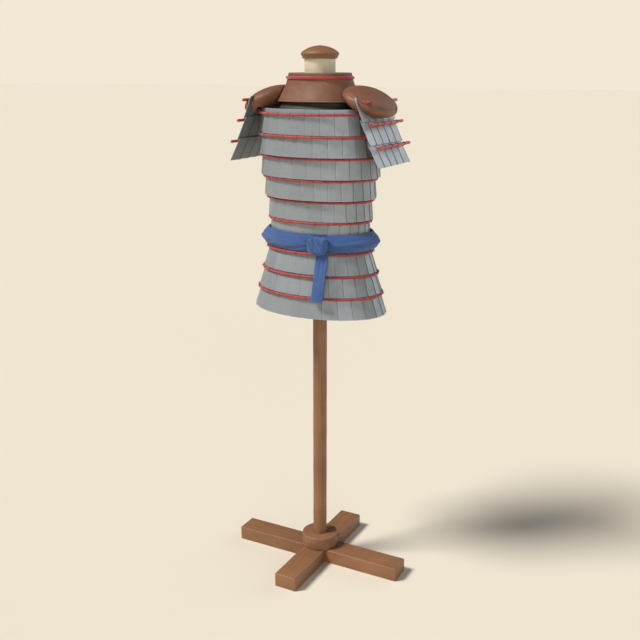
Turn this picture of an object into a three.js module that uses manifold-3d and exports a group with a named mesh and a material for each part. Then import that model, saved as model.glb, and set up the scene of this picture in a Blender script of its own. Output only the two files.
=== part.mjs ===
// Lamellar armour on a wooden display stand.
// Millimetres, +Z up, the front faces -Y, and the origin is on the floor under the pole.
import * as THREE from "three";
import { mergeVertices } from "three/addons/utils/BufferGeometryUtils.js";
import Module from "manifold-3d";

const wasm = await Module();
wasm.setup();

const CLEARANCE = 0.3; // between pieces that touch
const FULL_TURN = 360;
const FRONT = 270; // degrees round from +X to the middle of the chest

// Stand
const BEAM = { width: 76.6, height: 46.5, longLength: 603.4, crossLength: 487.4 };
const HUB = { radius: 60, height: 45, chamfer: 3 };
const POLE = { radius: 22.85, top: 1060, sides: 24 };

// Form: a row for each section from the hips to the top of the neck
const FORM_SIDES = 32;
const FORM_SECTIONS = [
  { z: 1000, a: 146, b: 90 },
  { z: 1060, a: 149, b: 91 },
  { z: 1120, a: 146, b: 86 },
  { z: 1200, a: 147, b: 93 },
  { z: 1264, a: 152, b: 97 },
  { z: 1328, a: 161, b: 107 },
  { z: 1400, a: 170, b: 115 },
  { z: 1450, a: 168, b: 111 },
  { z: 1485, a: 154, b: 101 },
  { z: 1505, a: 128, b: 89 },
  { z: 1530, a: 90, b: 73 },
  { z: 1555, a: 64, b: 60 },
  { z: 1585, a: 50, b: 50 },
  { z: 1612, a: 46.6, b: 46.6 },
  { z: 1661.7, a: 46.6, b: 46.6 },
];
const FINIAL = {
  bottom: 1662,
  baseRadius: 52.8,
  radius: 57.7,
  widest: 1675,
  top: 1700,
  arcSteps: 6,
};

// Plates: each laps over the one before it, and its leading edge stands proud by the step
const PLATES_PER_TURN = 26;
const PLATE = { step: 2.2, wall: 1.6, seam: 0.15 };
const CORD = { radius: 4.5, sides: 6 };

// Body rows from the chest to the hem: the height and half-axes of the outer ellipse at the top
// edge and at the bottom edge, the height of the cord, and how many plates each armhole leaves out
const BODY_ROWS = [
  [1520, 187, 137.5, 1446, 198, 142.7, 1505, 4],
  [1456, 190.8, 136.4, 1382.7, 202.4, 145, 1441, 3],
  [1392, 189.7, 129.6, 1318, 196.3, 134.1, 1377.7, 0],
  [1328, 178.2, 122.7, 1254, 184.8, 127.2, 1313, 0],
  [1264, 168.7, 111.3, 1190, 174.7, 115.3, 1249, 0],
  [1200, 163.7, 108.4, 1118, 168, 112, 1185, 0],
  [1130, 158.6, 103.4, 1029, 191.8, 126.4, 1092, 0],
  [1039, 182.6, 117.5, 964, 208.3, 139.5, 1024, 0],
  [974, 198.6, 130.6, 896, 225.2, 147, 959, 0],
].map(([zTop, aTop, bTop, zBottom, aBottom, bBottom, cordZ, armhole]) => ({
  zTop,
  aTop,
  bTop,
  zBottom,
  aBottom,
  bBottom,
  cordZ,
  armhole,
}));

// Collar and yoke: the outer wall from the top edge down, and how thick the leather is
const LEATHER = 3.5;
const WALL_SIDES = 36;
const COLLAR_LEVELS = [
  { z: 1622, a: 98, b: 79 },
  { z: 1587, a: 108.5, b: 87 },
  { z: 1540, a: 138, b: 109.5 },
];
const COLLAR_CORD = { z: 1607.5, halfHeight: 4.2, halfDepth: 1.5 };
const YOKE_REACH = 160; // the shelf stops short of the armholes
const YOKE_LEVELS = [
  { z: 1549, a: 124, b: 97 },
  { z: 1521, a: 134, b: 104 },
  { z: 1507, a: 186, b: 131 },
];

// Shoulders and arms, on the wearer's left (+X); the right side mirrors them
const SHOULDER_PAD = {
  x: 167,
  z: 1540,
  slope: 80,
  depth: 110,
  rise: 35,
  droop: 25,
  rows: 14,
  columns: 24,
};
// The room kept between the pad and what it rests on, and how far out and down that is taken away
const PAD_SEAT = { gap: 1.5, step: 0.1, widest: 184, drop: 80, slotGap: 1 };
const ARM_PLATE = { count: 5, width: 47.2, step: 2, wall: 3, seam: 0.4, lap: 7, gap: 0.5 };
const ARM_TOP = { x: 172, z: 1555 };
const ARM_EDGES = [
  { x: 199.7, z: 1487.9 },
  { x: 224.5, z: 1423.1 },
  { x: 251.5, z: 1360.7 },
];
const ROD = { radius: 4.5, halfLength: 117, drop: 22.5, standOff: 21.8, sides: 8 };
const ROD_TIE = { radius: 2.2, sides: 6 };

// Sash: outer profile from the bottom edge up, then the inner profile down
const SASH_SIDES = 40;
const SASH_LEVELS = [
  { z: 1097, a: 179, b: 117 },
  { z: 1122, a: 201.5, b: 126.5 },
  { z: 1153, a: 176, b: 117 },
  { z: 1153, a: 169.5, b: 113.3 },
  { z: 1097, a: 173.5, b: 113.5 },
];
const KNOT = { x: 59, width: 62, front: -148, back: -100, bottom: 1096, top: 1148, bevel: 7, gap: 0.5 };
const TAIL = {
  width: 40,
  thick: 11,
  top: { x: 76, y: -130.5, z: 1095.5 },
  bottom: { x: 66.5, y: -155, z: 955 },
};

const look = (color, roughness, metalness = 0) =>
  new THREE.MeshStandardMaterial({ color, roughness, metalness });
const steel = look(0x8f9494, 0.5, 0.6);
const redCord = look(0xa03c36, 0.8);
const leather = look(0x7c4f38, 0.65);
const darkLeather = look(0x3a3836, 0.7);
const sashCloth = look(0x34548c, 0.9);
const linen = look(0xd9cdb0, 0.9);
const wood = look(0x7a4a30, 0.6);

const armour = new THREE.Group();

function addPiece(name, geometry, material, parent = armour) {
  const mesh = new THREE.Mesh(geometry, material);
  mesh.name = name;
  parent.add(mesh);
  return mesh;
}

const radians = (degrees) => (degrees * Math.PI) / 180;

const onEllipse = (a, b, degrees, z) =>
  new THREE.Vector3(a * Math.cos(radians(degrees)), b * Math.sin(radians(degrees)), z);

// The level direction that points straight out of an ellipse there
const outOfEllipse = (a, b, degrees) =>
  new THREE.Vector3(Math.cos(radians(degrees)) / a, Math.sin(radians(degrees)) / b, 0).normalize();

const ellipseLoop = (level, sides) =>
  Array.from({ length: sides }, (_, i) => onEllipse(level.a, level.b, (i * FULL_TURN) / sides, level.z));

// The same with its two sides cut straight at a distance from the middle
function trimmedLoop(level, sides, reach) {
  const loop = ellipseLoop(level, sides);
  for (const point of loop) {
    point.x = THREE.MathUtils.clamp(point.x, -reach, reach);
  }
  return loop;
}

// A closed surface through loops of equal length: joined end to end, or capped where it is open
function skin(loops, joined) {
  const size = loops[0].length;
  const index = [];
  const spans = joined ? loops.length : loops.length - 1;
  for (let i = 0; i < spans; i++) {
    const near = i * size;
    const far = ((i + 1) % loops.length) * size;
    for (let j = 0; j < size; j++) {
      const k = (j + 1) % size;
      index.push(near + j, near + k, far + k, near + j, far + k, far + j);
    }
  }
  if (!joined) {
    const last = (loops.length - 1) * size;
    for (let j = 1; j < size - 1; j++) {
      index.push(0, j + 1, j, last, last + j, last + j + 1);
    }
  }
  const geometry = new THREE.BufferGeometry().setFromPoints(loops.flat());
  geometry.setIndex(index);
  return facedOut(geometry);
}

// Turns every triangle round if the surface encloses a negative volume
function facedOut(geometry) {
  const { position } = geometry.attributes;
  const index = geometry.index.array;
  const corner = [new THREE.Vector3(), new THREE.Vector3(), new THREE.Vector3()];
  let volume = 0;
  for (let i = 0; i < index.length; i += 3) {
    corner.forEach((point, n) => point.fromBufferAttribute(position, index[i + n]));
    volume += corner[0].dot(corner[1].cross(corner[2]));
  }
  if (volume < 0) {
    for (let i = 0; i < index.length; i += 3) {
      [index[i + 1], index[i + 2]] = [index[i + 2], index[i + 1]];
    }
  }
  geometry.computeVertexNormals();
  return geometry;
}

function toSolid(geometry) {
  const bare = geometry.clone();
  bare.deleteAttribute("normal");
  bare.deleteAttribute("uv");
  const merged = mergeVertices(bare, 1e-3);
  return new wasm.Manifold(
    new wasm.Mesh({
      numProp: 3,
      vertProperties: new Float32Array(merged.attributes.position.array),
      triVerts: new Uint32Array(merged.index.array),
    }),
  );
}

function toGeometry(solid) {
  const mesh = solid.getMesh();
  const geometry = new THREE.BufferGeometry();
  geometry.setAttribute("position", new THREE.BufferAttribute(mesh.vertProperties, 3));
  geometry.setIndex(new THREE.BufferAttribute(mesh.triVerts, 1));
  geometry.computeVertexNormals();
  return geometry;
}

// ---- stand
// A beam lies along X; the half-lap notch is cut from its top or its underside
function beamGeometry(length, notchInTop) {
  const half = length / 2;
  const notch = BEAM.width / 2 + CLEARANCE;
  const mid = BEAM.height / 2;
  const outline = notchInTop
    ? [[-half, 0], [half, 0], [half, BEAM.height], [notch, BEAM.height], [notch, mid - CLEARANCE / 2],
       [-notch, mid - CLEARANCE / 2], [-notch, BEAM.height], [-half, BEAM.height]]
    : [[-half, 0], [-notch, 0], [-notch, mid + CLEARANCE / 2], [notch, mid + CLEARANCE / 2], [notch, 0],
       [half, 0], [half, BEAM.height], [-half, BEAM.height]];
  const shape = new THREE.Shape(outline.map(([x, z]) => new THREE.Vector2(x, z)));
  const geometry = new THREE.ExtrudeGeometry(shape, { depth: BEAM.width, bevelEnabled: false });
  return geometry.rotateX(Math.PI / 2).translate(0, BEAM.width / 2, 0);
}

// Turned about Z: a profile of [radius, height] pairs
const turned = (profile, sides) =>
  new THREE.LatheGeometry(profile.map(([r, z]) => new THREE.Vector2(r, z)), sides).rotateX(Math.PI / 2);

function addStand() {
  addPiece("base_beam_long", beamGeometry(BEAM.longLength, true), wood);
  const cross = beamGeometry(BEAM.crossLength, false).rotateZ(Math.PI / 2);
  addPiece("base_beam_cross", cross, wood);

  const floor = BEAM.height + CLEARANCE;
  const bore = POLE.radius + CLEARANCE;
  const hubTop = floor + HUB.height;
  const hubProfile = [
    [bore, floor],
    [HUB.radius, floor],
    [HUB.radius, hubTop - HUB.chamfer],
    [HUB.radius - HUB.chamfer, hubTop],
    [bore, hubTop],
    [bore, floor],
  ];
  addPiece("hub", turned(hubProfile, POLE.sides), wood);
  const poleProfile = [[0, floor], [POLE.radius, floor], [POLE.radius, POLE.top], [0, POLE.top]];
  addPiece("pole", turned(poleProfile, POLE.sides), wood);
}

function addForm() {
  const body = skin(FORM_SECTIONS.map((section) => ellipseLoop(section, FORM_SIDES)), false);
  const below = FORM_SECTIONS[0].z - 1;
  const bore = POLE.radius + CLEARANCE;
  const socketProfile = [
    [0, below],
    [bore, below],
    [bore, POLE.top + CLEARANCE],
    [0, POLE.top + CLEARANCE],
  ];
  const socket = toSolid(turned(socketProfile, POLE.sides));
  addPiece("form", toGeometry(toSolid(body).subtract(socket)), linen);

  const profile = [[0, FINIAL.bottom], [FINIAL.baseRadius, FINIAL.bottom]];
  for (let i = 0; i <= FINIAL.arcSteps; i++) {
    const angle = radians((90 * i) / FINIAL.arcSteps);
    const rise = (FINIAL.top - FINIAL.widest) * Math.sin(angle);
    profile.push([FINIAL.radius * Math.cos(angle), FINIAL.widest + rise]);
  }
  addPiece("finial", turned(profile, POLE.sides), wood);
}

// ---- body rows
const seamAngle = (seam) => FRONT + (seam * FULL_TURN) / PLATES_PER_TURN;

// The row's outer ellipse at a height between its edges
function rowAt(row, z) {
  const t = (row.zTop - z) / (row.zTop - row.zBottom);
  return {
    z,
    a: THREE.MathUtils.lerp(row.aTop, row.aBottom, t),
    b: THREE.MathUtils.lerp(row.bTop, row.bBottom, t),
  };
}

// The stretches of plates in a row: one closed ring, or a front and a back between the armholes
function stretches(row, number) {
  if (row.armhole === 0) {
    return [{ suffix: "", first: number % 2 ? 0.5 : 0, count: PLATES_PER_TURN, ring: true }];
  }
  const half = PLATES_PER_TURN / 2;
  const count = half - row.armhole;
  return [
    { suffix: "_front", first: -count / 2, count, ring: false },
    { suffix: "_back", first: half - count / 2, count, ring: false },
  ];
}

// One section through the wall: outer bottom, outer top, inner top, inner bottom
function rowSection(row, degrees, sunk) {
  const inset = PLATE.step + PLATE.wall;
  const top = rowAt(row, row.zTop);
  const bottom = rowAt(row, row.zBottom);
  return [
    onEllipse(bottom.a - sunk, bottom.b - sunk, degrees, row.zBottom),
    onEllipse(top.a - sunk, top.b - sunk, degrees, row.zTop),
    onEllipse(top.a - inset, top.b - inset, degrees, row.zTop),
    onEllipse(bottom.a - inset, bottom.b - inset, degrees, row.zBottom),
  ];
}

function rowGeometry(row, stretch) {
  const loops = [];
  for (let i = 0; i < stretch.count; i++) {
    loops.push(rowSection(row, seamAngle(stretch.first + i) + PLATE.seam, 0));
    loops.push(rowSection(row, seamAngle(stretch.first + i + 1) - PLATE.seam, PLATE.step));
  }
  return skin(loops, stretch.ring);
}

function cordGeometry(row, stretch) {
  const { a, b } = rowAt(row, row.cordZ);
  const flare = (row.aBottom - row.aTop) / (row.zTop - row.zBottom);
  const seat = CORD.radius * (1 + flare) + CLEARANCE;
  const loops = [];
  const stations = stretch.ring ? stretch.count : stretch.count + 1;
  for (let i = 0; i < stations; i++) {
    const degrees = seamAngle(stretch.first + i);
    const out = outOfEllipse(a, b, degrees);
    const centre = onEllipse(a, b, degrees, row.cordZ).addScaledVector(out, seat);
    loops.push(roundSection(centre, out, CORD.radius, CORD.radius, CORD.sides));
  }
  return skin(loops, stretch.ring);
}

// An upright oval of points about a centre
function roundSection(centre, out, halfDepth, halfHeight, sides) {
  return Array.from({ length: sides }, (_, i) => {
    const angle = radians((i * FULL_TURN) / sides);
    const point = centre.clone().addScaledVector(out, halfDepth * Math.cos(angle));
    point.z += halfHeight * Math.sin(angle);
    return point;
  });
}

function addBodyRows() {
  BODY_ROWS.forEach((row, i) => {
    const number = i + 1;
    for (const stretch of stretches(row, number)) {
      addPiece(`row_${number}${stretch.suffix}`, rowGeometry(row, stretch), steel);
      addPiece(`row_cord_${number}${stretch.suffix}`, cordGeometry(row, stretch), redCord);
    }
  });
}

// ---- collar and yoke
const shrunk = (level, by) => ({ z: level.z, a: level.a - by, b: level.b - by });

// A ring wall: down the outer levels and back up the inner ones
function wallGeometry(levels, thickness) {
  const inner = levels.map((level) => shrunk(level, thickness)).reverse();
  return skin([...levels, ...inner].map((level) => ellipseLoop(level, WALL_SIDES)), true);
}

function addCollar() {
  addPiece("collar", wallGeometry(COLLAR_LEVELS, LEATHER), leather);
  addPiece("yoke", yokeGeometry(), darkLeather);

  const [top, kink] = COLLAR_LEVELS;
  const t = (top.z - COLLAR_CORD.z) / (top.z - kink.z);
  const a = THREE.MathUtils.lerp(top.a, kink.a, t);
  const b = THREE.MathUtils.lerp(top.b, kink.b, t);
  const flare = (kink.a - top.a) / (top.z - kink.z);
  const seat = COLLAR_CORD.halfDepth + COLLAR_CORD.halfHeight * flare + CLEARANCE;
  const loops = Array.from({ length: WALL_SIDES }, (_, i) => {
    const degrees = (i * FULL_TURN) / WALL_SIDES;
    const out = outOfEllipse(a, b, degrees);
    const centre = onEllipse(a, b, degrees, COLLAR_CORD.z).addScaledVector(out, seat);
    return roundSection(centre, out, COLLAR_CORD.halfDepth, COLLAR_CORD.halfHeight, CORD.sides);
  });
  addPiece("collar_cord", skin(loops, true), redCord);
}

// The yoke stands up inside the collar and spreads into a shelf that carries the first row
function yokeGeometry() {
  const [top, bend, rim] = YOKE_LEVELS;
  const levels = [
    top,
    bend,
    rim,
    { z: rim.z - LEATHER, a: rim.a, b: rim.b },
    { z: bend.z - LEATHER, a: bend.a - LEATHER, b: bend.b - LEATHER },
    { z: top.z, a: top.a - LEATHER, b: top.b - LEATHER },
  ];
  return skin(levels.map((level) => trimmedLoop(level, WALL_SIDES, YOKE_REACH)), true);
}

// ---- arms
// The outer face of each arm row: its top and bottom edge, and the ways down it and out of it
function armFaces() {
  const faces = [];
  let top = new THREE.Vector2(ARM_TOP.x, ARM_TOP.z);
  for (const edge of ARM_EDGES) {
    const bottom = new THREE.Vector2(edge.x, edge.z);
    const down = bottom.clone().sub(top).normalize();
    const out = new THREE.Vector2(-down.y, down.x);
    faces.push({ top, bottom, down, out });
    const inset = ARM_PLATE.step + ARM_PLATE.wall + ARM_PLATE.gap;
    top = bottom.clone().addScaledVector(down, -ARM_PLATE.lap).addScaledVector(out, -inset);
  }
  return faces;
}

const inXZ = (point, y) => new THREE.Vector3(point.x, y, point.y);

// The walls of one arm row, grown on every side by a margin where it is used to cut a slot
function armRowGeometry(face, margin = 0) {
  const half = (ARM_PLATE.count * ARM_PLATE.width) / 2;
  const inset = ARM_PLATE.step + ARM_PLATE.wall + margin;
  const section = (y, sunk) => {
    const at = (end, down, out) =>
      inXZ(end.clone().addScaledVector(face.down, down).addScaledVector(face.out, out), y);
    return [
      at(face.bottom, margin, margin - sunk),
      at(face.top, -margin, margin - sunk),
      at(face.top, -margin, -inset),
      at(face.bottom, margin, -inset),
    ];
  };
  const loops = [];
  for (let i = 0; i < ARM_PLATE.count; i++) {
    const start = -half + i * ARM_PLATE.width;
    const lead = i === 0 ? -margin : ARM_PLATE.seam;
    const trail = i === ARM_PLATE.count - 1 ? -margin : ARM_PLATE.seam;
    loops.push(section(start + lead, 0));
    loops.push(section(start + ARM_PLATE.width - trail, ARM_PLATE.step));
  }
  return skin(loops, false);
}

const rodCentre = (face) =>
  face.top.clone().addScaledVector(face.down, ROD.drop).addScaledVector(face.out, ROD.standOff);

const rodSolid = (face, radius) => {
  const centre = rodCentre(face);
  const geometry = new THREE.CapsuleGeometry(radius, 2 * (ROD.halfLength - radius), 3, ROD.sides);
  return toSolid(geometry.translate(centre.x, 0, centre.y));
};

// A rod laced off the plates: a tie runs from each inner seam of the row to the rod
function tiedRod(face) {
  let solid = rodSolid(face, ROD.radius);
  const reach = ROD.standOff - CLEARANCE;
  for (let i = 1; i < ARM_PLATE.count; i++) {
    const y = (i - ARM_PLATE.count / 2) * ARM_PLATE.width;
    const tie = new THREE.CylinderGeometry(ROD_TIE.radius, ROD_TIE.radius, reach, ROD_TIE.sides);
    tie.rotateZ(Math.atan2(face.out.y, face.out.x) - Math.PI / 2).rotateX(Math.PI / 2);
    const middle = rodCentre(face).addScaledVector(face.out, -reach / 2);
    solid = solid.add(toSolid(tie.translate(middle.x, y, middle.y)));
  }
  return toGeometry(solid);
}

// What the shoulder pad rests on and against, a little larger than the real pieces
function padSeat() {
  const { gap, step, widest, drop } = PAD_SEAT;
  const row = BODY_ROWS[0];
  const rim = {
    a: row.aBottom + 2 * CORD.radius + gap,
    b: row.bBottom + 2 * CORD.radius + gap,
  };
  const [collarTop, collarKink, collarHem] = COLLAR_LEVELS;
  const levels = [
    { z: row.zTop - drop, ...rim },
    { z: row.zTop + gap, ...rim },
    { ...shrunk(collarHem, -gap), z: row.zTop + gap + step },
    shrunk(collarHem, -gap),
    shrunk(collarKink, -gap),
    shrunk(collarTop, -gap),
  ];
  return toSolid(skin(levels.map((level) => trimmedLoop(level, 2 * WALL_SIDES, widest)), false));
}

function shoulderPad(faces) {
  const ball = new THREE.SphereGeometry(1, SHOULDER_PAD.columns, SHOULDER_PAD.rows);
  ball.scale(SHOULDER_PAD.slope, SHOULDER_PAD.depth, SHOULDER_PAD.rise);
  ball.rotateY(radians(SHOULDER_PAD.droop)).translate(SHOULDER_PAD.x, 0, SHOULDER_PAD.z);
  return toSolid(ball)
    .subtract(padSeat())
    .subtract(toSolid(armRowGeometry(faces[0], PAD_SEAT.slotGap)))
    .subtract(rodSolid(faces[0], ROD.radius + PAD_SEAT.slotGap));
}

// The same triangles on the other side of the YZ plane
function mirrored(geometry) {
  return facedOut(geometry.clone().scale(-1, 1, 1));
}

function addArms() {
  const faces = armFaces();
  const pad = toGeometry(shoulderPad(faces));
  addPiece("shoulder_pad_right", mirrored(pad), leather);
  addPiece("shoulder_pad_left", pad, leather);
  faces.forEach((face, i) => {
    const number = i + 1;
    const row = armRowGeometry(face);
    const rod = i === 0 ? toGeometry(rodSolid(face, ROD.radius)) : tiedRod(face);
    addPiece(`arm_row_right_${number}`, mirrored(row), steel);
    addPiece(`arm_row_left_${number}`, row, steel);
    addPiece(`arm_rod_right_${number}`, mirrored(rod), redCord);
    addPiece(`arm_rod_left_${number}`, rod, redCord);
  });
}

// ---- sash
// All that lies inside the sash's outer face, a little larger, to seat the knot on it
function sashCore() {
  const [hem, ridge, top] = SASH_LEVELS.map((level) => shrunk(level, -KNOT.gap));
  const levels = [{ ...hem, z: hem.z - KNOT.bevel }, hem, ridge, top];
  return toSolid(skin(levels.map((level) => ellipseLoop(level, SASH_SIDES)), false));
}

function addSash() {
  addPiece("sash", skin(SASH_LEVELS.map((level) => ellipseLoop(level, SASH_SIDES)), true), sashCloth);

  const half = KNOT.width / 2;
  const height = KNOT.top - KNOT.bottom;
  const { bevel } = KNOT;
  const shape = new THREE.Shape([
    new THREE.Vector2(-half + bevel, 0),
    new THREE.Vector2(half - bevel, 0),
    new THREE.Vector2(half, bevel),
    new THREE.Vector2(half, height - bevel),
    new THREE.Vector2(half - bevel, height),
    new THREE.Vector2(-half + bevel, height),
    new THREE.Vector2(-half, height - bevel),
    new THREE.Vector2(-half, bevel),
  ]);
  const knot = new THREE.ExtrudeGeometry(shape, { depth: KNOT.back - KNOT.front, bevelEnabled: false });
  knot.rotateX(Math.PI / 2).translate(KNOT.x, KNOT.back, KNOT.bottom);
  addPiece("sash_knot", toGeometry(toSolid(knot).subtract(sashCore())), sashCloth);

  const tailSection = ({ x, y, z }) => [
    new THREE.Vector3(x - TAIL.width / 2, y, z),
    new THREE.Vector3(x + TAIL.width / 2, y, z),
    new THREE.Vector3(x + TAIL.width / 2, y + TAIL.thick, z),
    new THREE.Vector3(x - TAIL.width / 2, y + TAIL.thick, z),
  ];
  addPiece("sash_tail", skin([tailSection(TAIL.top), tailSection(TAIL.bottom)], false), sashCloth);
}

addStand();
addForm();
addBodyRows();
addCollar();
addArms();
addSash();

export default armour;
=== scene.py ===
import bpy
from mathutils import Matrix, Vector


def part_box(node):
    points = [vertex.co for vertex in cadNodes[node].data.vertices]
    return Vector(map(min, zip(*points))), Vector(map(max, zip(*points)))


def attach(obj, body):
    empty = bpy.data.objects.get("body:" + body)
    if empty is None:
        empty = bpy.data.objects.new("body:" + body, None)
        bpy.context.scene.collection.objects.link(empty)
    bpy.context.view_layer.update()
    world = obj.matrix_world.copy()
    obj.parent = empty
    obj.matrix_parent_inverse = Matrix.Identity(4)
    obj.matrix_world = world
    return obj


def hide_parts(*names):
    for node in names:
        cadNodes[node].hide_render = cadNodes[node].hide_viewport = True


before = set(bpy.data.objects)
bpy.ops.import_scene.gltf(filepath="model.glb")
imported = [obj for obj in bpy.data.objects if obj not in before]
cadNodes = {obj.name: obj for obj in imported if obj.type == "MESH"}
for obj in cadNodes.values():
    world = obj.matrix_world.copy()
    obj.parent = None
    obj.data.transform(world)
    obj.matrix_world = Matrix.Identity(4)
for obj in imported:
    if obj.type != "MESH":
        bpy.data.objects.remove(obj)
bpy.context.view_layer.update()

import math
import random

import bmesh
import bpy
from mathutils import Matrix, Vector, noise

random.seed(14)
fullTurn = 2 * math.pi
up = Vector((0, 0, 1))

# ---- camera: in front, a little to the wearer's left and above
view = {"place": (1.2926, -2.4404, 1.6452), "tilt": 73.958, "turn": 27.91, "lens": 50, "film": 36}
bpy.ops.object.camera_add(location=view["place"])
camera = bpy.context.object
camera.rotation_euler = (math.radians(view["tilt"]), 0, math.radians(view["turn"]))
camera.data.lens = view["lens"]
camera.data.sensor_width = view["film"]
bpy.context.scene.camera = camera
print("camera placed")


# ---- working habits
def deselectAll():
    if bpy.context.object and bpy.context.object.mode != "OBJECT":
        bpy.ops.object.mode_set(mode="OBJECT")
    bpy.ops.object.select_all(action="DESELECT")


def pick(obj):
    deselectAll()
    obj.select_set(True)
    bpy.context.view_layer.objects.active = obj


def nameIt(obj, name):
    obj.name = name
    obj.data.name = name
    return obj


def settle(obj):
    pick(obj)
    bpy.ops.object.transform_apply(location=True, rotation=True, scale=True)
    return obj


def withModifier(obj, kind, **settings):
    modifier = obj.modifiers.new(kind.title(), kind)
    for key, value in settings.items():
        setattr(modifier, key, value)
    pick(obj)
    bpy.ops.object.modifier_apply(modifier=modifier.name)
    return obj


def smoothed(obj, angle=35):
    pick(obj)
    bpy.ops.object.shade_smooth_by_angle(angle=math.radians(angle))
    return obj


def joined(parts, name):
    deselectAll()
    for part in parts:
        part.select_set(True)
    bpy.context.view_layer.objects.active = parts[0]
    if len(parts) > 1:
        bpy.ops.object.join()
    return nameIt(bpy.context.object, name)


def copyOf(obj, name):
    twin = obj.copy()
    twin.data = obj.data.copy()
    bpy.context.scene.collection.objects.link(twin)
    return nameIt(twin, name)


def cadCopy(node, name):
    twin = copyOf(cadNodes[node], name)
    twin.parent = None
    for key in list(twin.keys()):
        del twin[key]
    pick(twin)
    bpy.ops.object.mode_set(mode="EDIT")
    bpy.ops.mesh.select_all(action="SELECT")
    bpy.ops.mesh.remove_doubles(threshold=0.00001)
    bpy.ops.mesh.dissolve_limited(angle_limit=math.radians(1))
    bpy.ops.object.mode_set(mode="OBJECT")
    return twin


def facedOut(obj, mergeFirst=False):
    pick(obj)
    bpy.ops.object.mode_set(mode="EDIT")
    bpy.ops.mesh.select_all(action="SELECT")
    if mergeFirst:
        bpy.ops.mesh.remove_doubles(threshold=0.00001)
    bpy.ops.mesh.normals_make_consistent(inside=False)
    bpy.ops.object.mode_set(mode="OBJECT")
    return obj


def dress(obj, material, slot, *nodes):
    obj.data.materials.clear()
    obj.data.materials.append(material)
    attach(obj, "root")
    if nodes:
        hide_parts(*nodes)
    return obj


# ---- reading the frame
def nodePoints(node, low=-1.0, high=9.0):
    return [v.co.copy() for v in cadNodes[node].data.vertices if low <= v.co.z <= high]


def ellipseThrough(points):
    # least squares of x2/a2 + y2/b2 = 1
    xx = xy = yy = xSum = ySum = 0.0
    for p in points:
        u, w = p.x * p.x, p.y * p.y
        xx += u * u
        xy += u * w
        yy += w * w
        xSum += u
        ySum += w
    det = xx * yy - xy * xy
    return math.sqrt(det / (xSum * yy - ySum * xy)), math.sqrt(det / (ySum * xx - xSum * xy))


def outerEllipse(node, z, slack=0.0006):
    points = nodePoints(node, z - slack, z + slack)
    if max(p.xy.length for p in points) < 0.002:
        return 0.001, 0.001
    for _ in range(8):
        a, b = ellipseThrough(points)
        level = [(p.x / a) ** 2 + (p.y / b) ** 2 for p in points]
        if max(level) - min(level) < 0.004:
            break
        points = [p for p, value in zip(points, level) if value >= 1]
    return a, b


def outline(node):
    # the node's outer ellipse at each of its levels, from the lowest
    heights = sorted(p.z for p in nodePoints(node))
    levels = [heights[0]] + [h for g, h in zip(heights, heights[1:]) if h - g > 0.001]
    return [(z, *outerEllipse(node, z)) for z in levels]


def seamAngles(node, z, a, b):
    # where the plates meet, as angles round the ellipse, and whether they go all the way round
    found = sorted(math.atan2(p.y / b, p.x / a) % fullTurn for p in nodePoints(node, z - 0.001, z + 0.001))
    gaps = [(found[(i + 1) % len(found)] - angle) % fullTurn for i, angle in enumerate(found)]
    start = gaps.index(max(gaps)) + 1
    angles = found[start:] + [angle + fullTurn for angle in found[:start]]
    groups = [[angles[0]]]
    for angle in angles[1:]:
        if angle - groups[-1][-1] > math.radians(2):
            groups.append([])
        groups[-1].append(angle)
    return [sum(group) / len(group) for group in groups], max(gaps) < math.radians(30)


def onEllipse(a, b, angle, z):
    return Vector((a * math.cos(angle), b * math.sin(angle), z))


def outward(a, b, angle):
    return Vector((math.cos(angle) / a, math.sin(angle) / b, 0)).normalized()


def atHeight(levels, z):
    # the ellipse of an outline at any height
    for (z0, a0, b0), (z1, a1, b1) in zip(levels, levels[1:]):
        if z <= z1:
            break
    t = (z - z0) / (z1 - z0)
    return a0 + t * (a1 - a0), b0 + t * (b1 - b0)


def smoothTable(rows, steps):
    # a smooth curve through rows of equal length, each span cut into steps
    out = []
    for i in range(len(rows) - 1):
        before = rows[max(i - 1, 0)]
        after = rows[min(i + 2, len(rows) - 1)]
        for j in range(steps):
            t = j / steps
            point = []
            for p0, p1, p2, p3 in zip(before, rows[i], rows[i + 1], after):
                bend = (2 * p0 - 5 * p1 + 4 * p2 - p3) * t * t
                twist = (3 * p1 - p0 - 3 * p2 + p3) * t ** 3
                point.append(p1 + 0.5 * ((p2 - p0) * t + bend + twist))
            out.append(tuple(point))
    out.append(tuple(rows[-1]))
    return out


# ---- making meshes
def sheetMesh(name, rows, closedAcross=False, closedAlong=False):
    # a grid of points as quads, its UV in metres along and across
    obj = bpy.data.objects.new(name, bpy.data.meshes.new(name))
    bpy.context.scene.collection.objects.link(obj)
    wide = len(rows[0])
    faces = []
    uvs = []
    along = [0.0]
    for row, after in zip(rows, rows[1:] + rows[:1]):
        along.append(along[-1] + (after[wide // 2] - row[wide // 2]).length)
    across = [0.0]
    middle = rows[len(rows) // 2]
    for point, after in zip(middle, middle[1:] + middle[:1]):
        across.append(across[-1] + (after - point).length)
    for i in range(len(rows) - (not closedAlong)):
        for j in range(wide - (not closedAcross)):
            i2, j2 = (i + 1) % len(rows), (j + 1) % wide
            faces.append((i * wide + j, i * wide + j2, i2 * wide + j2, i2 * wide + j))
            uvs += [(along[i], across[j]), (along[i], across[j + 1])]
            uvs += [(along[i + 1], across[j + 1]), (along[i + 1], across[j])]
    obj.data.from_pydata([p for row in rows for p in row], [], faces)
    layer = obj.data.uv_layers.new(name="cut")
    for loop, uv in zip(layer.data, uvs):
        loop.uv = uv
    if closedAcross and not closedAlong:
        pick(obj)
        bpy.ops.object.mode_set(mode="EDIT")
        bpy.ops.mesh.select_mode(type="EDGE")
        bpy.ops.mesh.select_all(action="DESELECT")
        bpy.ops.mesh.select_non_manifold()
        bpy.ops.mesh.fill_holes(sides=0)
        bpy.ops.object.mode_set(mode="OBJECT")
    return facedOut(obj)


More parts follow.
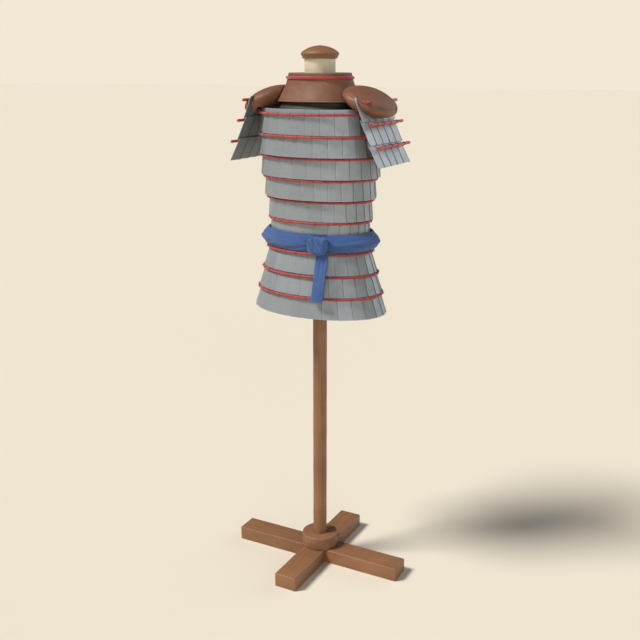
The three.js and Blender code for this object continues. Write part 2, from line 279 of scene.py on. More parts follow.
def loftedRings(name, rings, sides, filled=True):
    # a circle drawn out ring by ring; each ring is (height, half width, half depth)
    deselectAll()
    z, a, b = rings[0]
    fill = "NGON" if filled else "NOTHING"
    bpy.ops.mesh.primitive_circle_add(vertices=sides, radius=1, fill_type=fill, location=(0, 0, 0))
    obj = nameIt(bpy.context.object, name)
    bpy.ops.object.mode_set(mode="EDIT")
    bpy.ops.mesh.select_all(action="SELECT")
    bpy.ops.transform.resize(value=(a, b, 1))
    bpy.ops.transform.translate(value=(0, 0, z))
    for (z0, a0, b0), (z1, a1, b1) in zip(rings, rings[1:]):
        bpy.ops.mesh.extrude_region_move(TRANSFORM_OT_translate={"value": (0, 0, z1 - z0)})
        bpy.ops.transform.resize(value=(a1 / a0, b1 / b0, 1))
    bpy.ops.object.mode_set(mode="OBJECT")
    return facedOut(obj, mergeFirst=True)


def wrapUv(obj, radius):
    # UV in metres: once round the upright axis, and up
    mesh = obj.data
    layer = mesh.uv_layers[0] if mesh.uv_layers else mesh.uv_layers.new(name="cut")
    layer.name = "cut"
    for face in mesh.polygons:
        home = math.atan2(face.center.y, face.center.x)
        for index in face.loop_indices:
            p = mesh.vertices[mesh.loops[index].vertex_index].co
            turn = (math.atan2(p.y, p.x) - home + math.pi) % fullTurn - math.pi
            layer.data[index].uv = ((home + turn) * radius, p.z + p.xy.length)
    return obj


def selectEdges(obj, test):
    # in edit mode: the edges whose two ends pass
    mesh = bmesh.from_edit_mesh(obj.data)
    for edge in mesh.edges:
        edge.select = test(*(v.co for v in edge.verts))
    mesh.select_flush_mode()
    bmesh.update_edit_mesh(obj.data)


def spread(template, places, name):
    # a copy of the template at each place, as one piece
    copies = []
    for place in places:
        twin = copyOf(template, name)
        twin.data.transform(place)
        copies.append(twin)
    bpy.data.objects.remove(template)
    return joined(copies, name)


def frameAt(origin, along, out):
    # a matrix whose x runs along and whose z points out
    along = along.normalized()
    side = out.cross(along).normalized()
    out = along.cross(side)
    return Matrix.Translation(origin) @ Matrix((along, side, out)).transposed().to_4x4()


def sweptCord(name, path, radius, points=14, strands=3, pitch=0.021, relief=0.11, closed=False, swell=None):
    # path is a list of (centre, sideways direction); the strands twist round it
    centres = [centre for centre, _ in path]
    rows = []
    travelled = 0.0
    pairs = zip(centres, centres[1:] + centres[:1])
    whole = sum((b - a).length for a, b in list(pairs)[: None if closed else -1])
    twists = max(1, round(whole / pitch)) if closed else whole / pitch
    for i, (centre, out) in enumerate(path):
        before = centres[i - 1] if i or closed else centre
        after = centres[(i + 1) % len(path)] if i + 1 < len(path) or closed else centre
        tangent = (after - before).normalized()
        side = (out - tangent * out.dot(tangent)).normalized()
        rise = tangent.cross(side)
        phase = fullTurn * twists * travelled / whole
        size = radius * (swell(travelled / whole) if swell else 1)
        ring = []
        for j in range(points):
            turn = fullTurn * j / points
            reach = size * (1 - relief + relief * math.cos(strands * turn - phase))
            ring.append(centre + side * (reach * math.cos(turn)) + rise * (reach * math.sin(turn)))
        rows.append(ring)
        if i + 1 < len(path):
            travelled += (centres[i + 1] - centre).length
    return sheetMesh(name, rows, closedAcross=True, closedAlong=closed)


# ---- building blocks for the finishes
def addNode(tree, kind, inputs=None, **settings):
    made = tree.nodes.new("ShaderNode" + kind)
    for key, value in settings.items():
        setattr(made, key, value)
    for key, value in (inputs or {}).items():
        if isinstance(value, bpy.types.NodeSocket):
            tree.links.new(value, made.inputs[key])
        else:
            made.inputs[key].default_value = value
    return made


def math2(tree, operation, first, second=0.5):
    return addNode(tree, "Math", {0: first, 1: second}, operation=operation).outputs[0]


def rerange(tree, value, low, high, toLow, toHigh):
    inputs = {"Value": value, "From Min": low, "From Max": high, "To Min": toLow, "To Max": toHigh}
    return addNode(tree, "MapRange", inputs).outputs["Result"]


def mixed(tree, factor, first, second, blend="MIX"):
    made = addNode(tree, "Mix", {0: factor, 6: first, 7: second}, data_type="RGBA", blend_type=blend)
    return made.outputs[2]


def newGroup(name, inputs, outputs):
    tree = bpy.data.node_groups.new(name, "ShaderNodeTree")
    for label, kind, value in inputs:
        socket = tree.interface.new_socket(label, in_out="INPUT", socket_type="NodeSocket" + kind)
        if value is not None:
            socket.default_value = value
    for label in outputs:
        tree.interface.new_socket(label, in_out="OUTPUT", socket_type="NodeSocketFloat")
    source = tree.nodes.new("NodeGroupInput")
    sink = tree.nodes.new("NodeGroupOutput")
    return tree, source.outputs, sink.inputs


def useGroup(tree, group, inputs):
    made = addNode(tree, "Group", node_tree=group)
    for key, value in inputs.items():
        if isinstance(value, bpy.types.NodeSocket):
            tree.links.new(value, made.inputs[key])
        else:
            made.inputs[key].default_value = value
    return made.outputs


def makeMottle():
    # slow, cloudy unevenness about 1
    inputs = [("Vector", "Vector", None), ("Scale", "Float", 12.0), ("Spread", "Float", 0.1)]
    tree, given, result = newGroup("mottle", inputs, ["Tone"])
    cloud = addNode(tree, "TexNoise", {"Vector": given["Vector"], "Scale": given["Scale"], "Detail": 4.0})
    swing = math2(tree, "MULTIPLY", math2(tree, "SUBTRACT", cloud.outputs["Fac"], 0.5), given["Spread"])
    tree.links.new(math2(tree, "ADD", math2(tree, "MULTIPLY", swing, 4.0), 1.0), result["Tone"])
    return tree


def makeEdgeWear():
    # 1 at the rim of a plate, fading inwards, broken up by scuffs; UV in metres from one corner
    inputs = [("UV", "Vector", None), ("Width", "Float", 0.053), ("Height", "Float", 0.074)]
    inputs += [("Reach", "Float", 0.003), ("Shift", "Float", 0.0)]
    tree, given, result = newGroup("edgeWear", inputs, ["Mask"])
    parts = addNode(tree, "SeparateXYZ", {0: given["UV"]}).outputs
    near = math2(tree, "MINIMUM", parts[0], math2(tree, "SUBTRACT", given["Width"], parts[0]))
    upper = math2(tree, "MINIMUM", parts[1], math2(tree, "SUBTRACT", given["Height"], parts[1]))
    edge = math2(tree, "MINIMUM", near, upper)
    moved = addNode(tree, "VectorMath", {0: given["UV"], 1: given["Shift"]}, operation="ADD").outputs[0]
    scuff = addNode(tree, "TexNoise", {"Vector": moved, "Scale": 190.0, "Detail": 5.0, "Roughness": 0.7})
    ragged = math2(tree, "MULTIPLY", given["Reach"], math2(tree, "MULTIPLY", scuff.outputs["Fac"], 2.0))
    fade = addNode(tree, "MapRange", {"Value": edge, "From Min": 0.0, "From Max": ragged, "To Min": 1.0,
                                      "To Max": 0.0})
    tree.links.new(fade.outputs["Result"], result["Mask"])
    return tree


def makeBrushed():
    # long fine hammer-and-stone marks down a plate
    inputs = [("UV", "Vector", None), ("Shift", "Float", 0.0)]
    tree, given, result = newGroup("brushedSteel", inputs, ["Height", "Streak", "Stain"])
    moved = addNode(tree, "VectorMath", {0: given["UV"], 1: given["Shift"]}, operation="ADD").outputs[0]
    stretched = addNode(tree, "Mapping", {"Vector": moved, "Scale": (900.0, 38.0, 1.0)}).outputs[0]
    lines = addNode(tree, "TexNoise", {"Vector": stretched, "Scale": 1.0, "Detail": 6.0, "Roughness": 0.65})
    dents = addNode(tree, "TexNoise", {"Vector": moved, "Scale": 60.0, "Detail": 2.0}).outputs["Fac"]
    stain = addNode(tree, "TexNoise", {"Vector": moved, "Scale": 34.0, "Detail": 7.0, "Roughness": 0.62})
    height = math2(tree, "ADD", math2(tree, "MULTIPLY", lines.outputs["Fac"], 0.25), dents)
    tree.links.new(height, result["Height"])
    tree.links.new(lines.outputs["Fac"], result["Streak"])
    tree.links.new(stain.outputs["Fac"], result["Stain"])
    return tree


def makeWeave():
    # plain weave: threads pass over and under each other; UV in metres
    inputs = [("UV", "Vector", None), ("Threads", "Float", 900.0), ("Slub", "Float", 0.3)]
    tree, given, result = newGroup("weave", inputs, ["Height", "Shade"])
    wander = addNode(tree, "TexNoise", {"Vector": given["UV"], "Scale": 70.0, "Detail": 2.0}).outputs["Fac"]
    parts = addNode(tree, "SeparateXYZ", {0: given["UV"]}).outputs
    waves = []
    for axis in (0, 1):
        drift = math2(tree, "MULTIPLY", wander, given["Slub"])
        place = math2(tree, "ADD", math2(tree, "MULTIPLY", parts[axis], given["Threads"]), drift)
        waves.append(math2(tree, "SINE", math2(tree, "MULTIPLY", place, fullTurn), 0.0))
    over = math2(tree, "MULTIPLY", waves[0], waves[1])
    ribs = math2(tree, "MULTIPLY", math2(tree, "ADD", waves[0], waves[1]), 0.25)
    height = math2(tree, "ADD", math2(tree, "MULTIPLY", over, 0.4), ribs)
    tree.links.new(height, result["Height"])
    thick = addNode(tree, "TexNoise", {"Vector": given["UV"], "Scale": 260.0, "Detail": 3.0}).outputs["Fac"]
    shade = math2(tree, "ADD", math2(tree, "MULTIPLY", height, 0.12), rerange(tree, thick, 0.3, 0.7, 0.9, 1.06))
    tree.links.new(shade, result["Shade"])
    return tree


def makeHide():
    # pebbled grain with fine creases between the pebbles, and soft long wrinkles
    inputs = [("Vector", "Vector", None), ("Scale", "Float", 620.0)]
    tree, given, result = newGroup("hideGrain", inputs, ["Height", "Shade"])
    bent = addNode(tree, "TexNoise", {"Vector": given["Vector"], "Scale": 90.0, "Detail": 2.0}).outputs["Color"]
    slide = addNode(tree, "VectorMath", {0: bent, "Scale": 0.004}, operation="SCALE").outputs[0]
    moved = addNode(tree, "VectorMath", {0: given["Vector"], 1: slide}, operation="ADD").outputs[0]
    pebbles = addNode(tree, "TexVoronoi", {"Vector": moved, "Scale": given["Scale"]}, feature="F1")
    wrinkle = addNode(tree, "TexNoise", {"Vector": moved, "Scale": 45.0, "Detail": 6.0, "Roughness": 0.6})
    cells = math2(tree, "MULTIPLY", pebbles.outputs["Distance"], -0.6)
    height = math2(tree, "ADD", cells, math2(tree, "MULTIPLY", wrinkle.outputs["Fac"], 1.4))
    tree.links.new(height, result["Height"])
    shade = rerange(tree, math2(tree, "ADD", cells, wrinkle.outputs["Fac"]), 0.0, 0.6, 0.82, 1.1)
    tree.links.new(shade, result["Shade"])
    return tree


def makeTimber():
    # year rings about the x axis, with pores and streaks along it
    inputs = [("Vector", "Vector", None), ("Rings", "Float", 260.0)]
    tree, given, result = newGroup("timber", inputs, ["Height", "Shade"])
    drawn = addNode(tree, "Mapping", {"Vector": given["Vector"], "Scale": (1.6, 14.0, 14.0)}).outputs[0]
    sway = addNode(tree, "TexNoise", {"Vector": drawn, "Scale": 1.0, "Detail": 3.0}).outputs["Color"]
    slide = addNode(tree, "VectorMath", {0: sway, "Scale": 0.035}, operation="SCALE").outputs[0]
    moved = addNode(tree, "VectorMath", {0: given["Vector"], 1: slide}, operation="ADD").outputs[0]
    parts = addNode(tree, "SeparateXYZ", {0: moved}).outputs
    flat = addNode(tree, "CombineXYZ", {0: 0.0, 1: parts[1], 2: parts[2]}).outputs[0]
    offCentre = addNode(tree, "VectorMath", {0: flat, 1: (0.0, 0.021, 0.034)}, operation="ADD").outputs[0]
    reach = addNode(tree, "VectorMath", {0: offCentre}, operation="LENGTH").outputs["Value"]
    ring = math2(tree, "SINE", math2(tree, "MULTIPLY", reach, math2(tree, "MULTIPLY", given["Rings"], 4.0)))
    fine = addNode(tree, "Mapping", {"Vector": given["Vector"], "Scale": (22.0, 900.0, 900.0)}).outputs[0]
    pores = addNode(tree, "TexNoise", {"Vector": fine, "Scale": 1.0, "Detail": 4.0, "Roughness": 0.7})
    height = math2(tree, "ADD", math2(tree, "MULTIPLY", ring, 0.3), pores.outputs["Fac"])
    tree.links.new(height, result["Height"])
    bands = rerange(tree, ring, -1.0, 1.0, 0.9, 1.08)
    streaks = rerange(tree, pores.outputs["Fac"], 0.3, 0.7, 0.86, 1.1)
    tree.links.new(math2(tree, "MULTIPLY", bands, streaks), result["Shade"])
    return tree


def makeFibres():
    # silk fibres that lie along the strands; UV in metres along and round
    inputs = [("UV", "Vector", None), ("Lean", "Float", 0.7)]
    tree, given, result = newGroup("fibres", inputs, ["Height", "Shade"])
    turned = addNode(tree, "VectorRotate", {"Vector": given["UV"], "Angle": given["Lean"]},
                     rotation_type="Z_AXIS").outputs[0]
    drawn = addNode(tree, "Mapping", {"Vector": turned, "Scale": (150.0, 2600.0, 1.0)}).outputs[0]
    hairs = addNode(tree, "TexNoise", {"Vector": drawn, "Scale": 1.0, "Detail": 4.0, "Roughness": 0.7})
    slow = addNode(tree, "TexNoise", {"Vector": given["UV"], "Scale": 55.0, "Detail": 3.0}).outputs["Fac"]
    tree.links.new(hairs.outputs["Fac"], result["Height"])
    blend = math2(tree, "ADD", math2(tree, "MULTIPLY", hairs.outputs["Fac"], 0.6), math2(tree, "MULTIPLY", slow, 0.4))
    tree.links.new(rerange(tree, blend, 0.3, 0.7, 0.72, 1.22), result["Shade"])
    return tree


groups = {
    "mottle": makeMottle(),
    "edgeWear": makeEdgeWear(),
    "brushed": makeBrushed(),
    "weave": makeWeave(),
    "hide": makeHide(),
    "timber": makeTimber(),
    "fibres": makeFibres(),
}
print("shared effects made")


# ---- finishes
def newFinish(name, **shaderValues):
    material = bpy.data.materials.new(name)
    material.use_nodes = True
    tree = material.node_tree
    shader = tree.nodes["Principled BSDF"]
    for key, value in shaderValues.items():
        shader.inputs[key].default_value = value
    return material, tree, shader


def tinted(tree, colour, *tones):
    # one colour made lighter and darker by the tones
    value = tones[0]
    for tone in tones[1:]:
        value = math2(tree, "MULTIPLY", value, tone)
    return addNode(tree, "HueSaturation", {"Value": value, "Color": (*colour, 1.0)}).outputs["Color"]


def bumped(tree, shader, height, distance, strength=1.0):
    bump = addNode(tree, "Bump", {"Height": height, "Distance": distance, "Strength": strength})
    tree.links.new(bump.outputs["Normal"], shader.inputs["Normal"])


def pieceUv(tree, name="cut"):
    return addNode(tree, "UVMap", uv_map=name).outputs["UV"]


def objectPlace(tree, turn=(0.0, 0.0, 0.0)):
    place = addNode(tree, "TexCoord").outputs["Object"]
    return addNode(tree, "Mapping", {"Vector": place, "Rotation": turn}).outputs[0]


# the near-black entry is painted shade, laid along each plate where the next one laps over it
steelLook = {"base": (0.315, 0.345, 0.365), "stain": (0.19, 0.20, 0.205), "bright": (0.5, 0.52, 0.54),
             "paintedLapShade": (0.035, 0.036, 0.038), "metal": 0.4}


def steelFinish(name, width, height, seam, paintedFacingLight=None):
    # the last argument gives painted light and shade: the tone of faces that look down and of those that look up
    material, tree, shader = newFinish(name)
    uv = pieceUv(tree, "plate")
    tone = addNode(tree, "Attribute", attribute_name="tone").outputs["Fac"]
    shift = math2(tree, "MULTIPLY", tone, 7.3)
    brushed = useGroup(tree, groups["brushed"], {"UV": uv, "Shift": shift})
    wear = useGroup(tree, groups["edgeWear"], {"UV": uv, "Width": width, "Height": height, "Shift": shift})["Mask"]
    plateTone = rerange(tree, tone, 0.0, 1.0, 0.955, 1.045)
    streak = rerange(tree, brushed["Streak"], 0.25, 0.75, 0.94, 1.06)
    tones = [plateTone, streak]
    if paintedFacingLight:
        # painted light and shade: faces that look up are painted lighter, faces that look down darker
        facing = addNode(tree, "NewGeometry").outputs["Normal"]
        tones.append(rerange(tree, addNode(tree, "SeparateXYZ", {0: facing}).outputs[2], -0.3, 0.3, *paintedFacingLight))
    colour = tinted(tree, steelLook["base"], *tones)
    stained = rerange(tree, brushed["Stain"], 0.52, 0.75, 0.0, 0.3)
    colour = mixed(tree, stained, colour, (*steelLook["stain"], 1.0))
    colour = mixed(tree, math2(tree, "MULTIPLY", wear, 0.3), colour, (*steelLook["bright"], 1.0))
    # painted shade: a dark line is painted on each plate just short of where the next plate laps over it
    across = addNode(tree, "SeparateXYZ", {0: uv}).outputs[0]
    paintedLapShade = rerange(tree, across, seam - 0.0018, seam - 0.0007, 0.0, 0.6)
    colour = mixed(tree, paintedLapShade, colour, (*steelLook["paintedLapShade"], 1.0))
    tree.links.new(colour, shader.inputs["Base Color"])
    shader.inputs["Metallic"].default_value = steelLook["metal"]
    rough = math2(tree, "ADD", rerange(tree, brushed["Stain"], 0.3, 0.75, 0.42, 0.62),
                  math2(tree, "MULTIPLY", wear, -0.12))
    tree.links.new(rough, shader.inputs["Roughness"])
    bumped(tree, shader, brushed["Height"], 0.0004)
    return material


cordLook = {"base": (0.42, 0.040, 0.036), "rough": 0.62, "sheen": 0.35}


def cordFinish(name, lean=0.7):
    material, tree, shader = newFinish(name, **{"Sheen Weight": cordLook["sheen"], "Sheen Roughness": 0.4,
                                                "Roughness": cordLook["rough"]})
    uv = pieceUv(tree)
    fibres = useGroup(tree, groups["fibres"], {"UV": uv, "Lean": lean})
    fade = useGroup(tree, groups["mottle"], {"Vector": objectPlace(tree), "Scale": 9.0, "Spread": 0.16})
    tree.links.new(tinted(tree, cordLook["base"], fibres["Shade"], fade["Tone"]), shader.inputs["Base Color"])
    bumped(tree, shader, fibres["Height"], 0.0003)
    return material


def leatherFinish(name, base, scuffed, rough, edges=()):
    # edges are heights at which the leather is rubbed pale
    material, tree, shader = newFinish(name)
    place = objectPlace(tree)
    hide = useGroup(tree, groups["hide"], {"Vector": place})
    cloud = useGroup(tree, groups["mottle"], {"Vector": place, "Scale": 16.0, "Spread": 0.2})["Tone"]
    colour = tinted(tree, base, hide["Shade"], cloud)
    scrape = addNode(tree, "TexNoise", {"Vector": place, "Scale": 60.0, "Detail": 8.0, "Roughness": 0.7})
    rubbed = rerange(tree, scrape.outputs["Fac"], 0.58, 0.72, 0.0, 0.35)
    height = addNode(tree, "SeparateXYZ", {0: place}).outputs[2]
    for edge in edges:
        away = math2(tree, "ABSOLUTE", math2(tree, "SUBTRACT", height, edge))
        near = math2(tree, "MULTIPLY", rerange(tree, away, 0.0, 0.005, 0.9, 0.0), scrape.outputs["Fac"])
        rubbed = math2(tree, "MAXIMUM", rubbed, near)
    tree.links.new(mixed(tree, rubbed, colour, (*scuffed, 1.0)), shader.inputs["Base Color"])
    tree.links.new(rerange(tree, cloud, 0.8, 1.2, rough + 0.07, rough - 0.07), shader.inputs["Roughness"])
    bumped(tree, shader, hide["Height"], 0.0006)
    return material


def clothFinish(name, base, threads, depth, sheen, spread=0.16, faded=None):
    material, tree, shader = newFinish(name, **{"Sheen Weight": sheen, "Sheen Roughness": 0.5, "Roughness": 0.9})
    weave = useGroup(tree, groups["weave"], {"UV": pieceUv(tree), "Threads": threads})
    place = objectPlace(tree)
    cloud = useGroup(tree, groups["mottle"], {"Vector": place, "Scale": 14.0, "Spread": spread})["Tone"]
    colour = tinted(tree, base, weave["Shade"], cloud)
    if faded:
        bleach = addNode(tree, "TexNoise", {"Vector": place, "Scale": 22.0, "Detail": 6.0}).outputs["Fac"]
        colour = mixed(tree, rerange(tree, bleach, 0.5, 0.72, 0.0, 0.35), colour, (*faded, 1.0))
    tree.links.new(colour, shader.inputs["Base Color"])
    bumped(tree, shader, weave["Height"], depth)
    return material


woodLook = {"base": (0.255, 0.116, 0.050), "worn": (0.33, 0.165, 0.08)}


def woodFinish(name, turn=(0.0, 0.0, 0.0), base=woodLook["base"]):
    # turn brings the grain's direction onto x
    material, tree, shader = newFinish(name, **{"Coat Weight": 0.12, "Coat Roughness": 0.4})
    place = objectPlace(tree, turn)
    timber = useGroup(tree, groups["timber"], {"Vector": place})
    cloud = useGroup(tree, groups["mottle"], {"Vector": place, "Scale": 7.0, "Spread": 0.18})["Tone"]
    colour = tinted(tree, base, timber["Shade"], cloud)
    rub = addNode(tree, "TexNoise", {"Vector": place, "Scale": 26.0, "Detail": 9.0, "Roughness": 0.66}).outputs["Fac"]
    colour = mixed(tree, rerange(tree, rub, 0.55, 0.75, 0.0, 0.35), colour, (*woodLook["worn"], 1.0))
    tree.links.new(colour, shader.inputs["Base Color"])
    tree.links.new(rerange(tree, timber["Shade"], 0.8, 1.15, 0.62, 0.48), shader.inputs["Roughness"])
    bumped(tree, shader, timber["Height"], 0.0004)
    return material


def lacquerFinish(name):
    material, tree, shader = newFinish(name, **{"Coat Weight": 0.25, "Coat Roughness": 0.3, "Roughness": 0.5})
    place = objectPlace(tree)
    cloud = useGroup(tree, groups["mottle"], {"Vector": place, "Scale": 30.0, "Spread": 0.2})["Tone"]
    colour = tinted(tree, cordLook["base"], cloud)
    chip = addNode(tree, "TexNoise", {"Vector": place, "Scale": 140.0, "Detail": 5.0}).outputs["Fac"]
    colour = mixed(tree, rerange(tree, chip, 0.64, 0.7, 0.0, 0.7), colour, (0.13, 0.05, 0.035, 1.0))
    tree.links.new(colour, shader.inputs["Base Color"])
    bumped(tree, shader, chip, 0.0003)
    return material


# ---- plates
plate = {"thick": 0.0016, "corner": 0.0022, "rim": 0.0005, "crown": 0.0004, "sink": 0.0022,
         "lap": 0.15, "tilt": 0.0003, "height": 0.074, "width": 0.0455}


def plateBlank(width, height):
    # lies in the XZ plane from the origin, its face towards -Y
    deselectAll()
    across = width * (1 + plate["lap"])
    bpy.ops.mesh.primitive_cube_add(size=1, location=(across / 2, plate["thick"] / 2, height / 2))
    blank = nameIt(bpy.context.object, "plateBlank")
    blank.scale = (across, plate["thick"], height)
    settle(blank)
    bpy.ops.object.mode_set(mode="EDIT")
    bpy.ops.mesh.select_mode(type="EDGE")
    selectEdges(blank, lambda p, q: abs(p.y - q.y) > plate["thick"] / 2)
    bpy.ops.mesh.bevel(offset=plate["corner"], segments=3, affect="EDGES")
    selectEdges(blank, lambda p, q: max(p.y, q.y) < 1e-6)
    bpy.ops.mesh.bevel(offset=plate["rim"], segments=1, affect="EDGES")
    for share in (0.25, 0.5, 0.75, 1):
        bpy.ops.mesh.select_all(action="SELECT")
        bpy.ops.mesh.bisect(plane_co=(share * width, 0, 0), plane_no=(1, 0, 0))
    bpy.ops.object.mode_set(mode="OBJECT")
    layer = blank.data.uv_layers[0]
    layer.name = "plate"
    for loop in blank.data.loops:
        p = blank.data.vertices[loop.vertex_index].co
        layer.data[loop.index].uv = (p.x, p.z)
    return blank


def seatedPlate(blank, width, height, last, seat):
    # seat gives the place for a share across, a share up and a depth below the outer face
    twin = copyOf(blank, "plate")
    tone = random.random()
    lean = random.uniform(-1, 1) * plate["tilt"]
    values = []
    for v in twin.data.vertices:
        across, rise = v.co.x / width, v.co.z / height
        if last:
            across /= 1 + plate["lap"]
        inside = min(across, 1)
        crown = plate["crown"] * (1 - (2 * inside - 1) ** 2)
        depth = v.co.y + plate["sink"] * inside - crown + lean * (rise - 0.5)
        v.co = seat(across, rise, depth)
        values.append(tone)
    attribute = twin.data.attributes.new("tone", "FLOAT", "POINT")
    attribute.data.foreach_set("value", values)
    return twin


def bodyPlates(node, blank):
    low, high = (corner.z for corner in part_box(node))
    lowA, lowB = outerEllipse(node, low)
    highA, highB = outerEllipse(node, high)
    seams, ring = seamAngles(node, low, lowA, lowB)
    count = len(seams) if ring else len(seams) - 1
    pace = fullTurn / count if ring else (seams[-1] - seams[0]) / count
    plates = []
    for i in range(count):
        def seat(across, rise, depth, i=i):
            a = lowA + rise * (highA - lowA) - depth
            b = lowB + rise * (highB - lowB) - depth
            z = low + rise * (high - low)
            step = math.floor(min(across, 1.999))
            start = seams[0] + (i + step) * pace
            return onEllipse(a, b, start, z).lerp(onEllipse(a, b, start + pace, z), across - step)
        last = not ring and i == count - 1
        plates.append(seatedPlate(blank, plate["width"], plate["height"], last, seat))
    return plates


steel = steelFinish("satin_steel", 0.0523, 0.074, plate["width"])
blank = plateBlank(plate["width"], plate["height"])
rowNodes = {1: ["row_1_front", "row_1_back"], 2: ["row_2_front", "row_2_back"]}
for number in range(1, 10):
    nodes = rowNodes.get(number, [f"row_{number}"])
    plates = [one for node in nodes for one in bodyPlates(node, blank)]
    row = smoothed(facedOut(joined(plates, f"row_{number}_plates")), 30)
    dress(row, steel, "steel", *nodes)
bpy.data.objects.remove(blank)
print("body rows plated")

# ---- arm panels
armPlate = {"count": 5, "width": 0.0472, "height": 0.0716, "paintedFacingLight": (0.62, 1.42)}
# the arm steel's last setting is painted light and shade: darker where the plates face down, lighter where they face
# up
armSteel = steelFinish("arm_steel", 0.0543, armPlate["height"], armPlate["width"], armPlate["paintedFacingLight"])


def armFace(side, number):
    # outer face of an arm row: its bottom and top edge, and the way out of it
    points = nodePoints(f"arm_row_{side}_{number}")
    bottom = max(points, key=lambda p: abs(p.x))
    top = max(points, key=lambda p: p.z)
    bottom, top = Vector((bottom.x, 0, bottom.z)), Vector((top.x, 0, top.z))
    fall = (bottom - top).normalized()
    out = Vector((abs(fall.z), 0, abs(fall.x))) * (1 if bottom.x > 0 else -1)
    out.z = abs(fall.x)
    return bottom, top, out.normalized()


def armPlates(side, number, blank):
    bottom, top, out = armFace(side, number)
    low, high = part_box(f"arm_row_{side}_{number}")
    width = (high.y - low.y) / armPlate["count"]
    plates = []
    for i in range(armPlate["count"]):
        def seat(across, rise, depth, i=i):
            place = bottom.lerp(top, rise) - out * depth
            place.y = low.y + (i + across) * width
            return place
        last = i == armPlate["count"] - 1
        plates.append(seatedPlate(blank, armPlate["width"], armPlate["height"], last, seat))
    return plates


blank = plateBlank(armPlate["width"], armPlate["height"])
for side in ("left", "right"):
    for number in (1, 2, 3):
        plates = joined(armPlates(side, number, blank), f"arm_plates_{side}_{number}")
        dress(smoothed(facedOut(plates), 30), armSteel, "steel", f"arm_row_{side}_{number}")
bpy.data.objects.remove(blank)
print("arm panels plated")

# ---- red cords
cord = {"slimmer": 0.0006, "step": 0.003, "pitch": 0.019, "loop": 0.0006}


def cordRoute(node):
    # the cord's middle line: its ellipse, height, and the angles it runs between
    low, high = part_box(node)
    z = (low.z + high.z) / 2
    radius = (high.z - low.z) / 2 / math.sin(math.radians(60))
    a, b = outerEllipse(node, z)
    seams, ring = seamAngles(node, z, a, b)
    reach = radius + cord["slimmer"]
    return z, radius - cord["slimmer"], a - reach, b - reach, seams, ring


def bodyCord(node):
    z, radius, a, b, seams, ring = cordRoute(node)
    span = fullTurn if ring else seams[-1] - seams[0]
    steps = round(span * math.sqrt((a * a + b * b) / 2) / cord["step"])
    count = steps if ring else steps + 1
    path = []
    for i in range(count):
        angle = seams[0] + span * i / steps
        out = outward(a, b, angle)
        sag = 0.0004 * math.sin(3 * angle + 40 * z)
        path.append((onEllipse(a, b, angle, z + sag), out))
    knotted = None if ring else (lambda t: 0.55 + 0.75 * min(1, 40 * min(t, 1 - t)) ** 0.5
                                 - 0.3 * min(1, 22 * min(t, 1 - t)))
    return sweptCord(node + "_twist", path, radius, pitch=cord["pitch"], closed=ring, swell=knotted)


redCord = cordFinish("red_silk_cord")
loopPlaces = []
for number in range(1, 10):
    nodes = [node.replace("row_", "row_cord_") for node in rowNodes.get(number, [f"row_{number}"])]
    cords = [bodyCord(node) for node in nodes]
    dress(smoothed(joined(cords, f"cord_{number}"), 60), redCord, "red_cord", *nodes)
    for node in nodes:
        z, radius, a, b, seams, ring = cordRoute(node)
        for angle in seams if ring else seams[1:-1]:
            out = outward(a, b, angle)
            place = frameAt(onEllipse(a, b, angle, z), up, out)
            loopPlaces.append(place)

# a stitch of thin cord ties each long cord down at every seam
deselectAll()
bpy.ops.mesh.primitive_torus_add(major_segments=14, minor_segments=6, major_radius=0.0043, minor_radius=cord["loop"])
loop = nameIt(bpy.context.object, "cord_stitches")
bpy.ops.object.mode_set(mode="EDIT")
bpy.ops.mesh.select_all(action="SELECT")
bpy.ops.transform.rotate(value=math.radians(90), orient_axis="X", center_override=(0, 0, 0))
bpy.ops.transform.resize(value=(1, 1.5, 1), center_override=(0, 0, 0))
bpy.ops.object.mode_set(mode="OBJECT")
loop.data.uv_layers[0].name = "cut"
for uv in loop.data.uv_layers[0].data:
    uv.uv = (uv.uv[0] * 0.033, uv.uv[1] * 0.006)
stitches = spread(loop, loopPlaces, "cord_stitches")
dress(smoothed(stitches, 60), redCord, "red_cord")
print("cords laid and stitched")

# ---- collar and yoke
collar = {"thick": 0.0035, "sides": 72, "stitch": 0.0072, "inset": 0.005}


def leatherRing(name, rings, thick):
    wall = loftedRings(name, rings, collar["sides"], filled=False)
    for v in wall.data.vertices:
        out = outward(1, 1, math.atan2(v.co.y, v.co.x))
        v.co += out * (0.0006 * noise.noise(v.co * 22))
    withModifier(wall, "SOLIDIFY", thickness=thick, offset=-1)
    withModifier(wall, "BEVEL", width=0.0008, segments=2, limit_method="ANGLE", angle_limit=math.radians(50))
    return smoothed(wrapUv(wall, 0.11), 40)


collarLevels = outline("collar")
collarTop, collarFoot = collarLevels[-1], collarLevels[0]
collarWall = leatherRing("collar_leather", smoothTable(collarLevels, 5), collar["thick"])
brownLeather = leatherFinish("brown_leather", (0.212, 0.084, 0.040), (0.36, 0.20, 0.13), 0.58,
                             edges=(collarTop[0], collarFoot[0]))
dress(collarWall, brownLeather, "leather", "collar")

yokeRings = [level for level in outline("yoke") if level[0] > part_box("yoke")[0].z + 0.002]
yokeRings = [yokeRings[0], *[level for level in yokeRings[1:] if level[0] > yokeRings[0][0] + 0.011]]
yoke = leatherRing("yoke_leather", smoothTable(yokeRings, 4), collar["thick"])
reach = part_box("yoke")[1].x
for v in yoke.data.vertices:
    v.co.x = max(-reach, min(reach, v.co.x))
# the yoke leather is dark, and its near-black colour is also painted shade for the hollow under the collar
yokeLeatherShade = leatherFinish("yoke_leather_painted_shade", (0.030, 0.026, 0.024), (0.075, 0.06, 0.05), 0.6)
dress(yoke, yokeLeatherShade, "dark_leather", "yoke")


